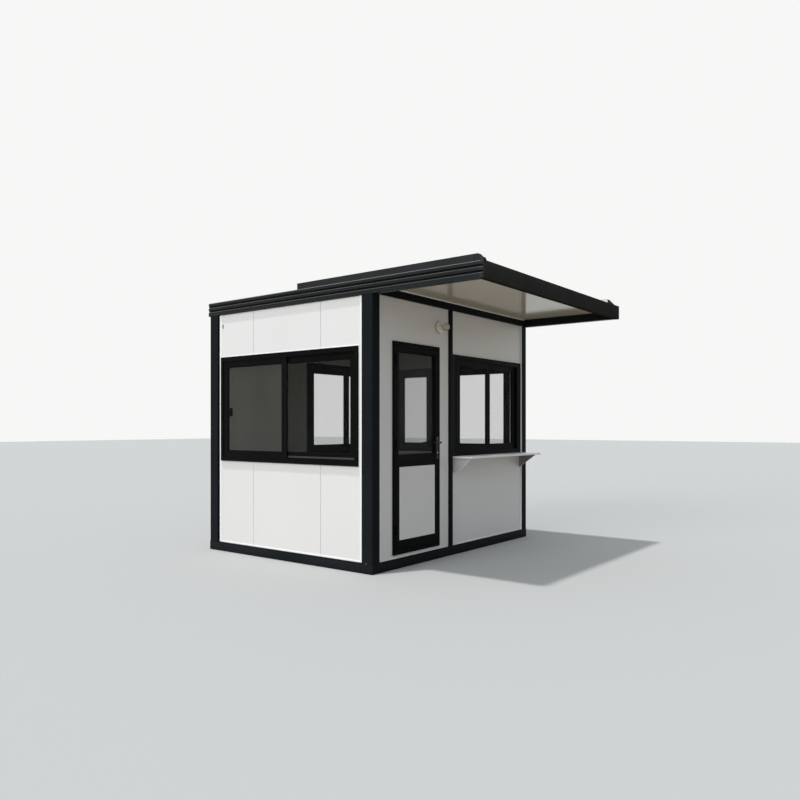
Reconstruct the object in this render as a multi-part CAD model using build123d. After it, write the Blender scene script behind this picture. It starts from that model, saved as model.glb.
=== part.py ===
from build123d import *
from dataclasses import dataclass
import os

# Security guard booth: a panelled cabin with a deep front canopy, a door and a serving counter.
# Millimetres, +Z up. Plan sizes below are measured from the outer front left corner of the base:
# x runs right along the front, y runs back. The part's own origin is under the middle of the
# whole footprint, canopy included, on the ground.

# Overall sizes
width = 3000
base_depth = 2365
back_eave = 25
overhang = 1190
base_h = 96
beam_bottom = 2602
roof_top = 2750
soffit_z = 2690

# Steel frame
post_w = 110
post_d = 132
mid_post_x0 = 1280
mid_post_x1 = 1346
mid_post_d = 80
rail_w = 100
beam_w = 60
front_beam_bottom = 2612
front_beam_d = 70
rib_count = 3
rib_chamfer = 12
groove_h = 9
groove_depth = 14
lip_h = 6

# Panels
wall_set_back = 20
wall_t = 50
floor_t = 50
roof_t = 42
soffit_t = 8

# Ribs of the roof sheet, running from the canopy's front to the back
sheet_rib_count = 12
sheet_rib_pitch = 240
sheet_rib_foot = 34
sheet_rib_crest = 18
sheet_rib_gap = 10

# Roof rails
rail_inset = 60
rail_t = 60
rail_top = 2825
rail_front_y = -1100
rail_nose_y = -1153
rail_back_y = 1045
rail_nose_z = 2770

# Parts common to all windows
window_depth = 70
window_face = 46
stile_w = 74
meeting_stile_w = 32
rail_h = 66
sash_t = 20
outer_track = 8
inner_track = 30
glass_t = 6


@dataclass
class Window:
    """One window; lengths run along its wall, and side is how wide the frame's uprights are."""
    start: float
    end: float
    sill: float
    head: float
    side: float
    meeting: float


left_window = Window(start=184, end=2180, sill=995, head=2132, side=40, meeting=1182)
right_window = Window(start=196, end=1986, sill=1029, head=2162, side=34, meeting=1452)
back_window = Window(start=1456, end=2880, sill=1014, head=2172, side=68, meeting=2248)
service_window = Window(start=mid_post_x1, end=2850, sill=1052, head=2144, side=80, meeting=2093)

# Door
door_x0 = 324
door_x1 = 1100
door_z0 = 133
door_z1 = 2196
jamb_w = 30
jamb_d = 70
door_gap = 5
leaf_face = 2
leaf_t = 45
hinge_stile = 56
lock_stile = 53
mid_rail_z0 = 978
mid_rail_z1 = 1096
top_rail_h = 65
bottom_rail_h = 101
door_panel_t = 24
door_panel_recess = 2
door_glass_recess = 22

# Hinges
hinge_x = door_x0 + jamb_w + door_gap / 2
hinge_y = -9
hinge_r = 8
pin_r = 4
pin_play = 0.3
knuckle_h = 50
knuckle_gap = 1
hinge_plate_w = 22
hinge_plate_t = 2.5
hinge_heights = (324, 1144, 1964)

# Lock furniture
plate_x = 1044
plate_w = 36
plate_z0 = 1033
plate_z1 = 1266
plate_t = 8
lever_z = 1206
lever_reach = 46
lever_len = 118
lever_r = 9
spindle_r = 6
spindle_hole_r = 12
cylinder_z = 1098
cylinder_r = 9
cylinder_t = 5
pull_r = 7
pull_reach = 42
pull_z0 = 1074
pull_z1 = 1182

# Wall lamp
lamp_x = 1114
lamp_z = 2407
lamp_base_r = 62
lamp_base_t = 25
lamp_neck_r = 30
lamp_neck_t = 12
globe_r = 44
globe_y = -62

# Counter
counter_x0 = 1350
counter_x1 = 2910
counter_z0 = 1030
counter_z1 = 1052
counter_front = -242
bracket_x = (1378, 2840)
bracket_t = 5
bracket_reach = 232
bracket_drop = 152
bracket_feet = (70, 24)

depth = base_depth + back_eave
origin_y = (depth - overhang) / 2
wall_y0 = wall_set_back
wall_y1 = wall_set_back + wall_t
sheet_z = soffit_z + soffit_t + roof_t


def plan(shape):
    """Move a shape from plan sizes to the part's origin."""
    return Pos(-width / 2, -origin_y, 0) * shape


def block(x0, x1, y0, y1, z0, z1):
    centre = Pos((x0 + x1) / 2, (y0 + y1) / 2, (z0 + z1) / 2)
    return centre * Box(x1 - x0, y1 - y0, z1 - z0)


def rod(start, end, radius):
    """A round bar from one point to another."""
    path = Vector(*end) - Vector(*start)
    face = Plane(origin=start, z_dir=path)
    return extrude(face * Circle(radius), amount=path.length)


def mirror_x(shape):
    """The same piece on the other side of the booth."""
    return mirror(shape, about=Plane.YZ.offset(width / 2))


# Base

def base_rail_front():
    return block(0, width, 0, rail_w, 0, base_h)


def base_rail_back():
    return block(0, width, base_depth - rail_w, base_depth, 0, base_h)


def base_rails_side():
    left = block(0, rail_w, rail_w, base_depth - rail_w, 0, base_h)
    return Compound(children=[left, mirror_x(left)])


def floor_deck():
    return block(rail_w, width - rail_w, rail_w, base_depth - rail_w, base_h - floor_t, base_h)


# Frame

def front_post():
    """A front post, cut down at its outer edge to seat the side beam."""
    post = block(0, post_w, 0, post_d, base_h, front_beam_bottom)
    return post - block(0, beam_w, 0, post_d, beam_bottom, front_beam_bottom)


def back_post():
    return block(0, post_w, base_depth - post_d, base_depth, base_h, beam_bottom)


def middle_post():
    return block(mid_post_x0, mid_post_x1, 0, mid_post_d, base_h, front_beam_bottom)


def front_top_beam():
    return block(beam_w, width - beam_w, 0, front_beam_d, front_beam_bottom, soffit_z)


def ribbed_profile():
    """Section of the side beam: flat back, ribs outside, each with a sloped top and a groove under."""
    rib_h = (roof_top - beam_bottom) / rib_count
    points = [(beam_w, beam_bottom), (beam_w, roof_top)]
    for i in range(rib_count):
        top = roof_top - i * rib_h
        bottom = top - rib_h
        points.append((rib_chamfer, top))
        points.append((0, top - rib_chamfer))
        if i < rib_count - 1:
            points.append((0, bottom + groove_h + lip_h))
            points.append((groove_depth, bottom + groove_h))
            points.append((groove_depth, bottom))
    points.append((0, beam_bottom))
    return points


def side_beam():
    """The left roof beam, running the whole depth and out to the canopy's front."""
    section = Plane.XZ * make_face(Polyline(*ribbed_profile(), close=True))
    long_bar = extrude(section, amount=depth + overhang)
    return Pos(0, depth, 0) * long_bar


def back_beam():
    """The same section along the back, between the side beams."""
    flipped = [(-x, z) for x, z in ribbed_profile()]
    section = Plane.YZ * make_face(Polyline(*flipped, close=True))
    bar = extrude(section, amount=width - 2 * beam_w)
    return Pos(beam_w, depth, 0) * bar


def canopy_fascia():
    return block(beam_w, width - beam_w, -overhang, beam_w - overhang, beam_bottom, roof_top)


# Roof

def roof_panel():
    """The flat roof with its trapezoid ribs, whose crests are level with the roof's edge."""
    y0 = beam_w - overhang
    y1 = depth - beam_w
    foot = sheet_rib_foot / 2
    crest = sheet_rib_crest / 2
    outline = [(-foot, sheet_z), (foot, sheet_z), (crest, roof_top), (-crest, roof_top)]
    section = Plane.XZ * make_face(Polyline(*outline, close=True))
    rib = Pos(0, y1 - sheet_rib_gap, 0) * extrude(section, amount=y1 - y0 - 2 * sheet_rib_gap)
    first_x = (width - (sheet_rib_count - 1) * sheet_rib_pitch) / 2
    panel = block(beam_w, width - beam_w, y0, y1, soffit_z + soffit_t, sheet_z)
    for i in range(sheet_rib_count):
        panel += Pos(first_x + i * sheet_rib_pitch, 0, 0) * rib
    return panel


def canopy_soffit():
    return block(beam_w, width - beam_w, beam_w - overhang, front_beam_d, soffit_z, soffit_z + soffit_t)


def roof_rail():
    """The left rail on the roof, square behind and raked at the front."""
    outline = [
        (rail_back_y, sheet_z),
        (rail_back_y, rail_top),
        (rail_front_y, rail_top),
        (rail_nose_y, rail_nose_z),
        (rail_nose_y, roof_top),
        (beam_w - overhang, roof_top),
        (beam_w - overhang, sheet_z),
    ]
    section = Plane.YZ * make_face(Polyline(*outline, close=True))
    return Pos(rail_inset, 0, 0) * extrude(section, amount=rail_t)


# Walls

def left_wall(z0, z1):
    return block(wall_y0, wall_y1, post_d, base_depth - post_d, z0, z1)


def side_strip(y0, y1, window):
    return block(wall_y0, wall_y1, y0, y1, window.sill, window.head)


def wall_edge_strips():
    """The narrow panels between the windows and the posts."""
    strips = [
        side_strip(post_d, left_window.start, left_window),
        side_strip(left_window.end, base_depth - post_d, left_window),
        mirror_x(side_strip(post_d, right_window.start, right_window)),
        mirror_x(side_strip(right_window.end, base_depth - post_d, right_window)),
        front_wall(service_window.end, width - post_w, service_window.sill, service_window.head),
        back_wall(back_window.end, width - post_w, back_window.sill, back_window.head),
    ]
    return Compound(children=strips)


def back_wall(x0, x1, z0, z1):
    return block(x0, x1, base_depth - wall_y1, base_depth - wall_y0, z0, z1)


def front_wall(x0, x1, z0, z1):
    return block(x0, x1, wall_y0, wall_y1, z0, z1)


# Windows, each first made lying against the front plane: x along the wall, y inwards

def ring(x0, x1, y0, y1, z0, z1, side, rail):
    outer = block(x0, x1, y0, y1, z0, z1)
    return outer - block(x0 + side, x1 - side, y0, y1, z0 + rail, z1 - rail)


def window_frame(window):
    x = (window.start, window.end)
    return ring(*x, 0, window_depth, window.sill, window.head, window.side, window_face)


def sash_plan(window, high_is_outer):
    """Track, ends of the sash and ends of its glass, for the higher and then the lower sash.

    The outer sash has the wide meeting stile, and the inner one's narrow stile hides behind it.
    """
    x0 = window.start + window.side
    x1 = window.end - window.side
    edge = window.meeting + stile_w / 2
    wide = (edge - stile_w, edge)
    narrow = (edge - meeting_stile_w, edge)
    high_stile, low_stile = (wide, narrow) if high_is_outer else (narrow, wide)
    high_track, low_track = (outer_track, inner_track) if high_is_outer else (inner_track, outer_track)
    high = (high_track, high_stile[0], x1, high_stile[1], x1 - stile_w)
    low = (low_track, x0, low_stile[1], x0 + stile_w, low_stile[0])
    return high, low


def sash_pair(window, high_is_outer):
    """The two sliding sashes, as bars round their glass."""
    z0 = window.sill + window_face
    z1 = window.head - window_face
    sashes = []
    for y0, x0, x1, glass_x0, glass_x1 in sash_plan(window, high_is_outer):
        sash = block(x0, x1, y0, y0 + sash_t, z0, z1)
        sashes.append(sash - block(glass_x0, glass_x1, y0, y0 + sash_t, z0 + rail_h, z1 - rail_h))
    return sashes


def pane_pair(window, high_is_outer):
    z0 = window.sill + window_face + rail_h
    z1 = window.head - window_face - rail_h
    panes = []
    for track, _, _, glass_x0, glass_x1 in sash_plan(window, high_is_outer):
        y0 = track + (sash_t - glass_t) / 2
        panes.append(block(glass_x0, glass_x1, y0, y0 + glass_t, z0, z1))
    return panes


def to_left(shape):
    """Turn a piece made against the front plane to stand in the left wall."""
    return mirror(Rot(0, 0, 90) * shape, about=Plane.YZ)


def to_right(shape):
    return mirror_x(to_left(shape))


def to_back(shape):
    return mirror(shape, about=Plane.XZ.offset(-base_depth / 2))


def to_front(shape):
    """A piece made against the front plane already stands in the front wall."""
    return shape


# Door

def door_frame():
    return ring(door_x0, door_x1, 0, jamb_d, door_z0, door_z1, jamb_w, jamb_w)


leaf_x0 = door_x0 + jamb_w + door_gap
leaf_x1 = door_x1 - jamb_w - door_gap
leaf_z0 = door_z0 + jamb_w + door_gap
leaf_z1 = door_z1 - jamb_w - door_gap
leaf_y0 = leaf_face
leaf_y1 = leaf_face + leaf_t
pane_x0 = leaf_x0 + hinge_stile
pane_x1 = leaf_x1 - lock_stile


def door_leaf_frame():
    leaf = block(leaf_x0, leaf_x1, leaf_y0, leaf_y1, leaf_z0, leaf_z1)
    leaf -= block(pane_x0, pane_x1, leaf_y0, leaf_y1, mid_rail_z1, leaf_z1 - top_rail_h)
    leaf -= block(pane_x0, pane_x1, leaf_y0, leaf_y1, leaf_z0 + bottom_rail_h, mid_rail_z0)
    leaf -= rod((plate_x, leaf_y0, lever_z), (plate_x, leaf_y1, lever_z), spindle_hole_r)
    return leaf


def door_glass():
    y0 = leaf_y0 + door_glass_recess
    return block(pane_x0, pane_x1, y0, y0 + glass_t, mid_rail_z1, leaf_z1 - top_rail_h)


def door_lower_panel():
    """The solid panel, nearly level with the leaf's outer face."""
    y0 = leaf_y0 + door_panel_recess
    return block(pane_x0, pane_x1, y0, y0 + door_panel_t, leaf_z0 + bottom_rail_h, mid_rail_z0)


def hinge_frame_halves():
    """Lower knuckle, pin and the leaf screwed to the jamb, three times."""
    halves = []
    for z in hinge_heights:
        half = rod((hinge_x, hinge_y, z), (hinge_x, hinge_y, z + knuckle_h), hinge_r)
        half += rod((hinge_x, hinge_y, z + knuckle_h), (hinge_x, hinge_y, z + 2 * knuckle_h), pin_r)
        edge = hinge_x - hinge_plate_w
        half += block(edge, hinge_x, -hinge_plate_t, 0, z, z + knuckle_h)
        halves.append(half)
    return Compound(children=halves)


def hinge_door_halves():
    """Upper knuckle round the pin and the leaf screwed to the door, three times."""
    halves = []
    for z in hinge_heights:
        low = z + knuckle_h + knuckle_gap
        high = z + 2 * knuckle_h
        half = rod((hinge_x, hinge_y, low), (hinge_x, hinge_y, high), hinge_r)
        half += block(hinge_x, hinge_x + hinge_plate_w, -hinge_plate_t, leaf_y0, low, high)
        half -= rod((hinge_x, hinge_y, low), (hinge_x, hinge_y, high), pin_r + pin_play)
        halves.append(half)
    return Compound(children=halves)


def lock_plate(y0, y1):
    x = (plate_x - plate_w / 2, plate_x + plate_w / 2)
    plate = block(*x, y0, y1, plate_z0, plate_z1)
    plate -= rod((plate_x, y0, lever_z), (plate_x, y1, lever_z), spindle_hole_r)
    return plate


def door_lock_plates():
    """Long plates outside and inside; the outer one carries the key cylinder."""
    outside = lock_plate(leaf_y0 - plate_t, leaf_y0)
    start = (plate_x, leaf_y0 - plate_t - cylinder_t, cylinder_z)
    outside += rod(start, (plate_x, leaf_y0 - plate_t, cylinder_z), cylinder_r)
    inside = lock_plate(leaf_y1, leaf_y1 + plate_t)
    return Compound(children=[outside, inside])


def door_lever():
    """Levers on both faces, joined by the spindle through the lock."""
    outer_y = leaf_y0 - plate_t - lever_reach
    inner_y = leaf_y1 + plate_t + lever_reach
    lever = rod((plate_x, outer_y, lever_z), (plate_x, inner_y, lever_z), spindle_r)
    for y in (outer_y, inner_y):
        lever += rod((plate_x + lever_r, y, lever_z), (plate_x - lever_len, y, lever_z), lever_r)
    return lever


def door_pull():
    """A bow grip below the lever."""
    face = leaf_y0 - plate_t
    middle = (pull_z0 + pull_z1) / 2
    bow = ThreePointArc((face, pull_z0), (face - pull_reach, middle), (face, pull_z1))
    path = Plane.YZ.offset(plate_x) * bow
    start = Plane(origin=path @ 0, z_dir=path % 0)
    grip = sweep(start * Circle(pull_r), path=path)
    return grip - block(0, width, face, depth, 0, roof_top)


# Fittings

def lamp_base():
    base = rod((lamp_x, wall_y0, lamp_z), (lamp_x, wall_y0 - lamp_base_t, lamp_z), lamp_base_r)
    neck_y = wall_y0 - lamp_base_t
    base += rod((lamp_x, neck_y, lamp_z), (lamp_x, neck_y - lamp_neck_t, lamp_z), lamp_neck_r)
    return base


def lamp_globe():
    globe = Pos(lamp_x, globe_y, lamp_z) * Sphere(globe_r)
    neck_y = wall_y0 - lamp_base_t - lamp_neck_t
    return globe - block(0, width, neck_y, depth, 0, roof_top)


def counter_shelf():
    """The serving shelf, cut out round the right post."""
    shelf = block(counter_x0, counter_x1, counter_front, wall_y0, counter_z0, counter_z1)
    return shelf - block(width - post_w, counter_x1, 0, wall_y0, counter_z0, counter_z1)


def counter_brackets():
    brackets = []
    for x, foot in zip(bracket_x, bracket_feet):
        foot_z = counter_z0 - bracket_drop
        outline = [
            (wall_y0, counter_z0),
            (wall_y0 - bracket_reach, counter_z0),
            (wall_y0 - foot, foot_z),
            (wall_y0, foot_z),
        ]
        section = Plane.YZ * make_face(Polyline(*outline, close=True))
        brackets.append(Pos(x - bracket_t / 2, 0, 0) * extrude(section, amount=bracket_t))
    return Compound(children=brackets)


nodes = {
    "base_rail_front": base_rail_front(),
    "base_rail_back": base_rail_back(),
    "base_rails_side": base_rails_side(),
    "floor_deck": floor_deck(),
    "post_front_left": front_post(),
    "post_front_right": mirror_x(front_post()),
    "post_back_left": back_post(),
    "post_back_right": mirror_x(back_post()),
    "post_middle": middle_post(),
    "front_top_beam": front_top_beam(),
    "roof_beam_left": side_beam(),
    "roof_beam_right": mirror_x(side_beam()),
    "roof_beam_back": back_beam(),
    "canopy_fascia": canopy_fascia(),
    "roof_panel": roof_panel(),
    "canopy_soffit": canopy_soffit(),
    "roof_rail_left": roof_rail(),
    "roof_rail_right": mirror_x(roof_rail()),
    "left_wall_lower": left_wall(base_h, left_window.sill),
    "left_wall_upper": left_wall(left_window.head, beam_bottom),
    "right_wall_lower": mirror_x(left_wall(base_h, right_window.sill)),
    "right_wall_upper": mirror_x(left_wall(right_window.head, beam_bottom)),
    "back_wall_left": back_wall(post_w, back_window.start, base_h, beam_bottom),
    "back_wall_lower": back_wall(back_window.start, width - post_w, base_h, back_window.sill),
    "back_wall_upper": back_wall(back_window.start, width - post_w, back_window.head, beam_bottom),
    "front_wall_left": front_wall(post_w, door_x0, base_h, front_beam_bottom),
    "front_wall_beside_door": front_wall(door_x1, mid_post_x0, base_h, front_beam_bottom),
    "front_wall_over_door": front_wall(door_x0, door_x1, door_z1, front_beam_bottom),
    "door_sill": front_wall(door_x0, door_x1, base_h, door_z0),
    "front_wall_lower": front_wall(mid_post_x1, width - post_w, base_h, service_window.sill),
    "front_wall_upper": front_wall(mid_post_x1, width - post_w, service_window.head, front_beam_bottom),
    "wall_edge_strips": wall_edge_strips(),
    "counter_shelf": counter_shelf(),
    "counter_brackets": counter_brackets(),
    "lamp_base": lamp_base(),
    "lamp_globe": lamp_globe(),
    "door_frame": door_frame(),
    "hinge_frame_halves": hinge_frame_halves(),
    "door_leaf_frame": door_leaf_frame(),
    "door_glass": door_glass(),
    "door_lower_panel": door_lower_panel(),
    "hinge_door_halves": hinge_door_halves(),
    "door_lock_plates": door_lock_plates(),
    "door_pull": door_pull(),
    "door_lever": door_lever(),
}

# Each window's name, its sizes, whether the higher sash is the outer one, and its wall
windows = [
    ("left_window", left_window, True, to_left),
    ("right_window", right_window, False, to_right),
    ("back_window", back_window, True, to_back),
    ("service_window", service_window, False, to_front),
]
all_panes = []
for name, window, high_is_outer, place in windows:
    nodes[f"{name}_frame"] = place(window_frame(window))
    nodes[f"{name}_sashes"] = Compound(children=[place(s) for s in sash_pair(window, high_is_outer)])
    all_panes += [place(pane) for pane in pane_pair(window, high_is_outer)]
nodes["window_glass"] = Compound(children=all_panes)

os.makedirs("parts", exist_ok=True)
for name, shape in nodes.items():
    export_step(plan(shape), f"parts/{name}.step")
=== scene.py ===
import math
import bpy
import bmesh
from mathutils import Matrix, Vector


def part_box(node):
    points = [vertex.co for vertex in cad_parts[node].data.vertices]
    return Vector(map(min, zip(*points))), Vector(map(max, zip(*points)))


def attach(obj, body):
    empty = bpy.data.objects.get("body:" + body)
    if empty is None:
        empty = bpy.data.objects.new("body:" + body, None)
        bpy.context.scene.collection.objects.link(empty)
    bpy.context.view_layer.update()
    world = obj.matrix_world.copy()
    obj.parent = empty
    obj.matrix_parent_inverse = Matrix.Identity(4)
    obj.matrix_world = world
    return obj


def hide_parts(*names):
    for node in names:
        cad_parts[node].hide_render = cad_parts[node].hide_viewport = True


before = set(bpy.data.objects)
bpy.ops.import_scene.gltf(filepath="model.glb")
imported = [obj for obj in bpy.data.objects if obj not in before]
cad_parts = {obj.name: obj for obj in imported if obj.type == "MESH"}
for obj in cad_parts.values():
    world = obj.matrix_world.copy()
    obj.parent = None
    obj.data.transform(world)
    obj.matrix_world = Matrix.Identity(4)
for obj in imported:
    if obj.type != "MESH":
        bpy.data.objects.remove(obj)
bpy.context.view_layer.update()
print("frame loaded")

# Sizes are in metres. X runs right along the front, the front faces -Y, Z is up.

scene = bpy.context.scene
lap = 0.001  # how far a part runs into the one behind it
fine = 0.001  # the rounding of thin parts
slack = 0.0004  # how far apart two places may lie and still count as the same


def deselectAll():
    bpy.ops.object.select_all(action="DESELECT")


def makeActive(piece):
    deselectAll()
    piece.select_set(True)
    bpy.context.view_layer.objects.active = piece


def selectAll():
    bpy.ops.mesh.select_all(action="SELECT")


def startEdit(piece):
    makeActive(piece)
    bpy.ops.object.mode_set(mode="EDIT")
    selectAll()


def endEdit():
    bpy.ops.object.mode_set(mode="OBJECT")


def pick(kind, test):  # selects the faces, edges or points that pass the test, in edit mode
    bpy.ops.mesh.select_mode(type=kind[:4].upper())
    bpy.ops.mesh.select_all(action="DESELECT")
    mesh = bmesh.from_edit_mesh(bpy.context.object.data)
    mesh.normal_update()
    for item in getattr(mesh, kind):
        if test(item):
            item.select_set(True)
    bmesh.update_edit_mesh(bpy.context.object.data)


def deleteFaces(test):
    pick("faces", test)
    bpy.ops.mesh.delete(type="FACE")


def movePoints(test, shift):
    pick("verts", test)
    bpy.ops.transform.translate(value=shift)


def bevelEdges(test, width, segments=1):
    pick("edges", test)
    bpy.ops.mesh.bevel(offset=width, segments=segments, affect="EDGES")


def extrudeAll(shift):
    bpy.ops.mesh.select_mode(type="FACE")
    selectAll()
    bpy.ops.mesh.extrude_region_move(TRANSFORM_OT_translate={"value": shift})


def pointOutwards(merge=False):
    selectAll()
    if merge:
        bpy.ops.mesh.remove_doubles(threshold=0.0001)
    bpy.ops.mesh.normals_make_consistent(inside=False)


def sinkFaces(piece, inset, depth, ways=(-1,)):  # a border round the faces along Y, the middle pushed in
    startEdit(piece)
    for way in ways:
        pick("faces", lambda f: f.normal.y * way > 0.9)
        bpy.ops.mesh.inset(thickness=inset)
        bpy.ops.transform.translate(value=(0, -way * depth, 0))
    endEdit()


def along(axis, amount):
    way = Vector()
    way[axis] = amount
    return way


def cutAt(axis, places):  # slices the whole mesh across an axis
    for place in places:
        selectAll()
        bpy.ops.mesh.bisect(plane_co=along(axis, place), plane_no=along(axis, 1))


def near(a, b):
    return abs(a - b) < slack


def edgeMiddle(edge):
    return (edge.verts[0].co + edge.verts[1].co) / 2


def runsAlong(edge, axis):
    way = edge.verts[1].co - edge.verts[0].co
    return way.length > 1e-6 and abs(way[axis]) / way.length > 0.99


def softenEdges(piece, width, segments=1, angle=30):
    makeActive(piece)
    edge = piece.modifiers.new("edge", "BEVEL")
    edge.width = width
    edge.segments = segments
    edge.limit_method = "ANGLE"
    edge.angle_limit = math.radians(angle)
    bpy.ops.object.modifier_apply(modifier=edge.name)


def settle(name, size=(1, 1, 1)):  # names the new primitive and brings its place and size into its mesh
    piece = bpy.context.object
    piece.name = name
    piece.data.name = name
    piece.scale = size
    bpy.ops.object.transform_apply(location=True, rotation=True, scale=True)
    return piece


def addPlane(name, centre, size, turn=(0, 0, 0)):
    deselectAll()
    bpy.ops.mesh.primitive_plane_add(size=1, location=centre, rotation=turn)
    return settle(name, size)


def addBlock(name, low, high, edge=0, segments=1):  # a cube brought to its size, with softened edges
    deselectAll()
    low, high = Vector(low), Vector(high)
    bpy.ops.mesh.primitive_cube_add(size=1, location=(low + high) / 2)
    block = settle(name, high - low)
    if edge:
        softenEdges(block, edge, segments)
    return block


def turnTo(axis):  # turns something that lies across Z so that it lies across X or Y
    return (math.pi / 2, 0, 0) if axis == 1 else (0, math.pi / 2, 0)


def addRound(name, centre, radius, length, sides, edge=0, segments=1, axis=1):  # a cylinder along an axis
    deselectAll()
    bpy.ops.mesh.primitive_cylinder_add(
        vertices=sides, radius=radius, depth=length, location=centre, rotation=turnTo(axis))
    bar = settle(name)
    if edge:
        softenEdges(bar, edge, segments)
    return bar


def joinAll(name, parts):
    makeActive(parts[0])
    if len(parts) > 1:
        for part in parts:
            part.select_set(True)
        bpy.ops.object.join()
    parts[0].name = name
    parts[0].data.name = name
    return parts[0]


def copyOf(piece, name):
    twin = piece.copy()
    twin.data = piece.data.copy()
    twin.name = name
    twin.data.name = name
    scene.collection.objects.link(twin)
    return twin


def carry(piece, matrix):  # moves the mesh itself, so the object stays at the origin
    piece.data.transform(matrix)
    if matrix.determinant() < 0:
        startEdit(piece)
        pointOutwards()
        endEdit()
    return piece


def finishPiece(piece, material, nodes=(), body="booth", smooth=40):
    makeActive(piece)
    bpy.ops.object.shade_smooth_by_angle(angle=math.radians(smooth))
    piece.data.materials.clear()
    piece.data.materials.append(material)
    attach(piece, body)
    if nodes:
        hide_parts(*nodes)
    return piece


def finishPair(piece, twinName, material, nodeStem="", smooth=40):  # and its mirror image
    twin = carry(copyOf(piece, twinName), Matrix.Diagonal((-1, 1, 1, 1)))
    for part, side in ((piece, "_left"), (twin, "_right")):
        finishPiece(part, material, [nodeStem + side] if nodeStem else (), smooth=smooth)


def repaint(node, material):  # for a node of the frame that shows as it is
    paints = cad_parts[node].data.materials
    paints.clear()
    paints.append(material)


def pieceName(node):  # left_wall_lower becomes leftWallLower
    words = node.title().replace("_", "")
    return words[0].lower() + words[1:]


# Materials

def setInputs(tree, node, values):  # a value is a number, a colour, an output, or a node for its first output
    for name, value in values.items():
        if isinstance(value, bpy.types.Node):
            value = value.outputs[0]
        if isinstance(value, bpy.types.NodeSocket):
            tree.links.new(value, node.inputs[name])
        else:
            node.inputs[name].default_value = value


def addNode(tree, kind, values, **settings):
    node = tree.nodes.new("ShaderNode" + kind)
    for name, setting in settings.items():
        setattr(node, name, setting)
    setInputs(tree, node, values)
    return node


def newMaterial(name, colour, roughness, specular):
    material = bpy.data.materials.new(name)
    material.use_nodes = True
    shader = material.node_tree.nodes["Principled BSDF"]
    shader.inputs["Base Color"].default_value = (*colour, 1)
    shader.inputs["Roughness"].default_value = roughness
    shader.inputs["Specular IOR Level"].default_value = specular
    return material, material.node_tree, shader


def addNoise(tree, scale, detail, stretch=(1, 1, 1)):
    place = addNode(tree, "TexCoord", {})
    mapping = addNode(tree, "Mapping", {"Vector": place.outputs["Object"], "Scale": stretch})
    return addNode(tree, "TexNoise", {"Vector": mapping, "Scale": scale, "Detail": detail})


def addRamp(tree, source, stops):  # stops are places and colours
    ramp = addNode(tree, "ValToRGB", {"Fac": source})
    points = ramp.color_ramp.elements
    for place, colour in stops[1:-1]:
        points.new(place)
    for point, (place, colour) in zip(points, stops):
        point.position = place
        point.color = (*colour, 1)
    return ramp


def heightIn(tree, space):
    place = addNode(tree, "TexCoord", {})
    return addNode(tree, "SeparateXYZ", {"Vector": place.outputs[space]}).outputs["Z"]


def addDust(tree, base, dust):  # thickest at the ground and broken up by noise
    height = addNode(tree, "MapRange", {
        "Value": heightIn(tree, "Object"), "From Min": dust["top"], "From Max": 0, "To Max": dust["most"]})
    amount = addNode(tree, "Math", {0: height, 1: addNoise(tree, scale=9, detail=5)}, operation="MULTIPLY")
    blend = addNode(tree, "Mix", {"Factor": amount, "A": base, "B": (*dust["colour"], 1)}, data_type="RGBA")
    return blend.outputs["Result"]


plainLook = dict(vary=(-0.05, 0.06), specular=0.5, alpha=1, clouds=5, cloudDetail=4, stretch=(1, 1, 1),
                 spread=0.03, stops=None, grain=300, grainDetail=2, bump=0.05, bumpDeep=0.001, dust=None)
steel = dict(spread=0.16, clouds=2.2, grain=420)
thinGlass = dict(vary=(0, 0.04), clouds=2.5, cloudDetail=5, stretch=(1, 1, 0.4), bump=0,
                 stops=((0.35, 0.9), (0.75, 1.25)))


def makeSurface(name, colour, roughness=0.34, **look):
    # faint clouds in colour and gloss, a fine grain, dust where asked
    look = {**plainLook, **look}
    spread = look["spread"]
    material, tree, shader = newMaterial(name, colour, roughness, look["specular"])
    clouds = addNoise(tree, look["clouds"], look["cloudDetail"], look["stretch"])
    stops = look["stops"] or ((0.3, 1 - spread), (0.7, 1 + spread))
    tones = [(place, [channel * factor for channel in colour]) for place, factor in stops]
    base = addRamp(tree, clouds, tones)
    if look["dust"]:
        base = addDust(tree, base, look["dust"])
    values = {"Alpha": look["alpha"], "Base Color": base}
    if look["vary"]:
        less, more = look["vary"]
        values["Roughness"] = addNode(tree, "MapRange", {
            "Value": clouds, "To Min": roughness + less, "To Max": roughness + more})
    if look["bump"]:
        grain = addNoise(tree, look["grain"], look["grainDetail"])
        values["Normal"] = addNode(tree, "Bump", {
            "Height": grain, "Strength": look["bump"], "Distance": look["bumpDeep"]})
    setInputs(tree, shader, values)
    return material


charcoal = makeSurface(
    "charcoalSteel", (0.013, 0.0157, 0.0178), 0.42, spread=0.14, clouds=1.7, grain=420, bump=0.1,
    specular=0.01, dust=dict(most=0.05, top=0.3, colour=(0.1, 0.096, 0.085)))
roofPaint = makeSurface("roofSteel", (0.013, 0.0155, 0.017), specular=0.09, **steel)
fasciaPaint = makeSurface("fasciaSteel", (0.036, 0.0365, 0.0345), 0.44, bump=0.06, specular=0, **steel)
railPaint = makeSurface("railSteel", (0.0185, 0.021, 0.0225), specular=0.11, **steel)
roofSheetGrey = makeSurface(
    "roofSheetGrey", (0.4, 0.41, 0.42), 0.4, spread=0.05, clouds=1.6, grain=260, specular=0.4)
# a lighter copy of the roof paint, used as a painted highlight on the rib slopes
ribHighlightPaint = makeSurface("ribPaintedHighlight", (0.085, 0.088, 0.09), spread=0.16, clouds=4, grain=420, specular=0.2)
black = makeSurface(
    "blackAluminium", (0.005, 0.0053, 0.0056), 0.4, spread=0.12, clouds=3, grain=520, bump=0.07,
    specular=0.02)
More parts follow.
